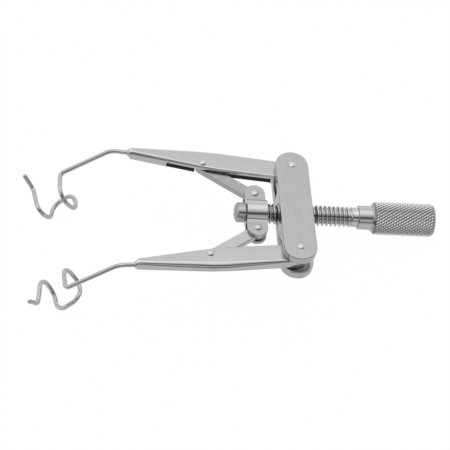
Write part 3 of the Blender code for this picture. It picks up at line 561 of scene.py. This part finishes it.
def drive_screw():
    """The screw with a finely cut right-hand thread."""
    start, full, end = THREAD_X
    columns, places = THREAD_COLUMNS, len(THREAD_CUT)
    core, crest = THREAD_CORE, THREAD_RADIUS
    turns = math.ceil((end - start) / THREAD_PITCH) + 3
    front = [(0, SPIGOT_X), (SPIGOT_RADIUS - SPIGOT_EDGE, SPIGOT_X),
             (SPIGOT_RADIUS, SPIGOT_X + SPIGOT_EDGE), (SPIGOT_RADIUS, BUTTON_X[1] + SEAT_GAP),
             (JOURNAL_RADIUS, BUTTON_X[1] + SEAT_GAP), (JOURNAL_RADIUS, start)]
    rear = [(NECK_RADIUS, end), (NECK_RADIUS, HUB_X - SEAT_GAP), (SHANK_RADIUS, HUB_X - SEAT_GAP),
            (SHANK_RADIUS, SHANK_END_X), (0, SHANK_END_X)]
    wound = turns * places

    def limits(x):
        """How deep and how high the thread reaches where it fades in and out."""
        run_out = max(0.0, (x - full) / (end - full))
        fade_in = core + (x - start)
        fade_out = crest - run_out * (crest - NECK_RADIUS)
        return core + run_out * (NECK_RADIUS - core), min(crest, fade_in, fade_out)

    def point(row, column):
        angle = 2 * math.pi * column / columns
        if row < len(front):
            radius, x = front[row]
        elif row < len(front) + wound:
            turn, place = divmod(row - len(front), places)
            offset, radius = THREAD_CUT[place]
            x = start + offset * MM + (turn - 1 + column / columns) * THREAD_PITCH
            x = min(max(x, start), end)
            floor, top = limits(x)
            radius = max(floor, min(radius, top))
        else:
            radius, x = rear[row - len(front) - wound]
        return x, radius * math.sin(angle), -radius * math.cos(angle)

    rows = len(front) + wound + len(rear)
    bm = bmesh.new()
    grid = [[bm.verts.new(point(row, column)) for column in range(columns)] for row in range(rows)]

    def over_seam(row):
        """The row that the thread reaches after one turn."""
        return row + places if len(front) <= row < len(front) + wound - places else row

    for row in range(rows - 1):
        for column in range(columns):
            low, high, after = row, row + 1, column + 1
            if after == columns:
                low, high, after = over_seam(low), over_seam(high), 0
            bm.faces.new((grid[row][column], grid[low][after], grid[high][after],
                          grid[row + 1][column]))
    close(bm)
    show(as_mesh(bm, "drive_screw", 35), "drive_screw", SCREW)


def thumb_knob():
    """Hub and grip, cut crosswise into flat-topped diamonds, over the screw's shank."""
    columns, rows = [2 * count * KNURL_STEPS for count in KNURLS]
    front, rear = KNOB_X
    plain = KNOB_RADIUS - KNURL_DEPTH
    first, last = front + KNOB_CHAMFER, rear - KNOB_CHAMFER
    bore = SHANK_RADIUS + SEAT_GAP
    before = [(0, SHANK_END_X + SEAT_GAP), (bore, SHANK_END_X + SEAT_GAP), (bore, HUB_X),
              *broken_edge(HUB_RADIUS, HUB_X, HUB_EDGE, 1),
              (HUB_RADIUS, HUB_X + HUB_EDGE), (HUB_RADIUS, front), (plain - KNOB_CHAMFER, front)]
    after = [(plain - KNOB_CHAMFER, rear), (0, rear)]

    def ridge(steps):
        """0 at a groove's bottom, 1 half way to the next."""
        cycle = (steps / KNURL_STEPS) % 2
        return min(cycle, 2 - cycle)

    def height(row, column):
        crossing = KNURL_CROSSING + (1 - KNURL_CROSSING) * ridge(row - column)
        from_end = min(row, rows - row) / KNURL_STEPS
        return min(min(ridge(row + column), crossing, from_end) / KNURL_FLAT, 1.0)

    def point(row, column):
        angle = 2 * math.pi * column / columns
        if row < len(before):
            radius, x = before[row]
        elif row <= len(before) + rows:
            row -= len(before)
            radius = plain + KNURL_HEIGHT * height(row, column)
            x = first + (last - first) * row / rows
        else:
            radius, x = after[row - len(before) - rows - 1]
        return x, radius * math.sin(angle), -radius * math.cos(angle)

    def split(row, column):
        row -= len(before)
        return ridge(row + column + 1) >= ridge(row - column)

    bm = skin(len(before) + rows + 1 + len(after), columns, point, split)
    close(bm)
    for face in bm.faces:
        place = face.calc_center_median().x
        if not first - PLAIN_BAND < place < last + PLAIN_BAND:
            face.material_index = 1
    show(as_mesh(bm, "thumb_knob", 20), "thumb_knob", KNURLED, TURNED)


# Blades

def wire_corners():
    """The corners of the upper blade's wire, in millimetres."""
    lean = math.tan(math.radians(WIRE_LEAN))
    nose_x, nose_y = WIRE_NOSE
    socket, first = [Vector((x, nose_y + (nose_x - x) * lean, 0))
                     for x in (WIRE_SOCKET_X, WIRE_FIRST_X)]
    drop = math.radians(WIRE_DROP)
    ahead = Vector((-math.cos(drop), 0, -math.sin(drop)))
    under = Vector((math.sin(drop), 0, -math.cos(drop)))
    inward = Vector((0, -1, 0))
    turn, raised = HOOK_TURN
    corner = first + ahead * SHANK_RUN
    over_rear = corner + inward * HOOK_REACH + ahead * HOOK_LEAN[0]
    under_rear = over_rear + under * HOOK_DEPTH[0] - inward * HOOK_SET
    turn_rear = under_rear - inward * turn - under * raised
    turn_front = turn_rear + ahead * BLADE_WIDTH + under * raised
    under_front = turn_front + inward * turn - under * raised
    over_front = under_front - under * HOOK_DEPTH[1] + inward * HOOK_SET
    tail = over_front - inward * HOOK_REACH + ahead * HOOK_LEAN[1]
    end = tail - inward * HOOK_TAIL[0] - under * HOOK_TAIL[1]
    return [socket, first, corner, over_rear, under_rear, turn_rear, turn_front, under_front,
            over_front, tail, end]


def rounded(corners, radii, steps=14):
    """Straight runs with an arc at each inner corner."""
    points = [corners[0]]
    for before, corner, after, radius in zip(corners, corners[1:], corners[2:], radii):
        back, ahead = (before - corner).normalized(), (after - corner).normalized()
        half = back.angle(ahead) / 2
        shorter = min((before - corner).length, (after - corner).length)
        reach = min(radius / math.tan(half), 0.499 * shorter)
        bend = reach * math.tan(half)
        centre = corner + (back + ahead).normalized() * bend / math.sin(half)
        start, finish = corner + back * reach - centre, corner + ahead * reach - centre
        sweep = start.angle(finish)
        points += [centre + (start * math.sin((1 - i / steps) * sweep)
                             + finish * math.sin(i / steps * sweep)) / math.sin(sweep)
                   for i in range(steps + 1)]
    return points + [corners[-1]]


def blade(lid, side):
    """One blade's wire, round and with a rounded free end."""
    path = [Vector((p.x, side * p.y, p.z)) * MM
            for p in rounded(wire_corners(), WIRE_BEND_RADII)]
    tip, heading = path[-1], (path[-1] - path[-2]).normalized()
    share, steps = WIRE_TIP
    path[-1] = tip - heading * WIRE_RADIUS * share
    radii = [WIRE_RADIUS] * len(path)
    for i in range(1, steps + 1):
        angle = math.pi / 2 * i / steps
        path.append(tip - heading * WIRE_RADIUS * share * (1 - math.sin(angle)))
        radii.append(WIRE_RADIUS * math.cos(angle))
    along_path = [(b - a).normalized() for a, b in zip(path, path[1:])]
    tangents = [along_path[0]] + [(a + b).normalized() for a, b in zip(along_path, along_path[1:])]
    tangents.append(along_path[-1])
    across = [Vector((0, 0, 1)).cross(tangents[0]).normalized()]
    for before, after in zip(tangents, tangents[1:]):
        across.append((before.rotation_difference(after) @ across[-1]).normalized())

    def point(row, column):
        angle = 2 * math.pi * column / WIRE_SIDES
        other = tangents[row].cross(across[row])
        return path[row] + radii[row] * (across[row] * math.cos(angle) + other * math.sin(angle))

    bm = skin(len(path), WIRE_SIDES, point)
    close(bm)
    node = "blade_wire_" + lid
    show(as_mesh(bm, node, 50), node, WIRE)


# Flat pieces, from the CAD solids

WELD = 2e-7                      # between points that are one
COPLANAR = 0.4                   # degrees between triangles of one face
RIM_ANGLE = 50                   # degrees at an edge that is broken
GRAZE = 0.01 * MM                # slack in comparing places
WALL_TURN = 0.3                  # least share of a recess wall's normal that points inward
ROOF_TURN = 0.5                  # least share of its roof's normal that points down
UNDERSIDE = 0.2 * MM             # what lies within this of the arm's underside isn't the roof


def flat_piece(node, *finishes, angle=38, edge=0.0, recess_side=0):
    """The CAD piece with its seams welded, its rims broken and its rounds shaded smooth."""
    source = frame["nodes"][node]
    bm = bmesh.new()
    bm.from_mesh(source.data)
    bmesh.ops.remove_doubles(bm, verts=bm.verts, dist=WELD)
    bmesh.ops.dissolve_limit(bm, angle_limit=math.radians(COPLANAR), verts=bm.verts,
                             edges=bm.edges)
    bm.transform(REST.inverted())
    bm.normal_update()
    # Faces inside the arm's recess take the second finish: near-black painted shade
    if recess_side:
        for face in bm.faces:
            centre = face.calc_center_median()
            below_roof = max(v.co.z for v in face.verts) < ROOF_Z + GRAZE
            inside = RECESS_X[0] < centre.x < RECESS_X[1] and below_roof
            faces_in = face.normal.y * recess_side < -WALL_TURN
            faces_down = face.normal.z < -ROOF_TURN and centre.z > UNDERSIDE - ARM_TOP_Z
            if inside and (faces_in or faces_down):
                face.material_index = 1
    piece = show(as_mesh(bm, node, angle), node, *finishes)
    if edge:
        bevel = piece.modifiers.new("Rims", 'BEVEL')
        bevel.width = edge
        bevel.segments = 2
        bevel.limit_method = 'ANGLE'
        bevel.angle_limit = math.radians(RIM_ANGLE)
        bevel.use_clamp_overlap = True
    smooth = piece.modifiers.new("Weighted", 'WEIGHTED_NORMAL')
    smooth.keep_sharp = True


for node in ("bridge_plate_top", "bridge_plate_bottom", "bridge_nut"):
    flat_piece(node, PLATE)
for node in ("yoke_plate_top", "yoke_plate_bottom"):
    flat_piece(node, BLASTED, edge=0.09 * MM)
for lid, side in (("upper", 1), ("lower", -1)):
    flat_piece("arm_" + lid, ARM, RECESS_SHADE, recess_side=side)
    flat_piece("link_" + lid, LINK_UPPER_SHADED if side > 0 else LINK_LOWER)
    blade(lid, side)
    pivot_pin("arm_pivot_rivet_" + lid, (0, side * PIVOT_Y))
    rivet("link_rivet_" + lid, LINK_PIN[2], ARM_TOP_Z, LINK_BOTTOM_Z,
          (LINK_PIN[0], side * LINK_PIN[1]))
    rivet("yoke_rivet_" + lid, YOKE_PIN[2], LINK_TOP_Z + RUN_GAP + EAR_THICKNESS,
          LINK_BOTTOM_Z - RUN_GAP - EAR_THICKNESS, (YOKE_PIN[0], side * YOKE_PIN[1]))
button()
drive_screw()
thumb_knob()
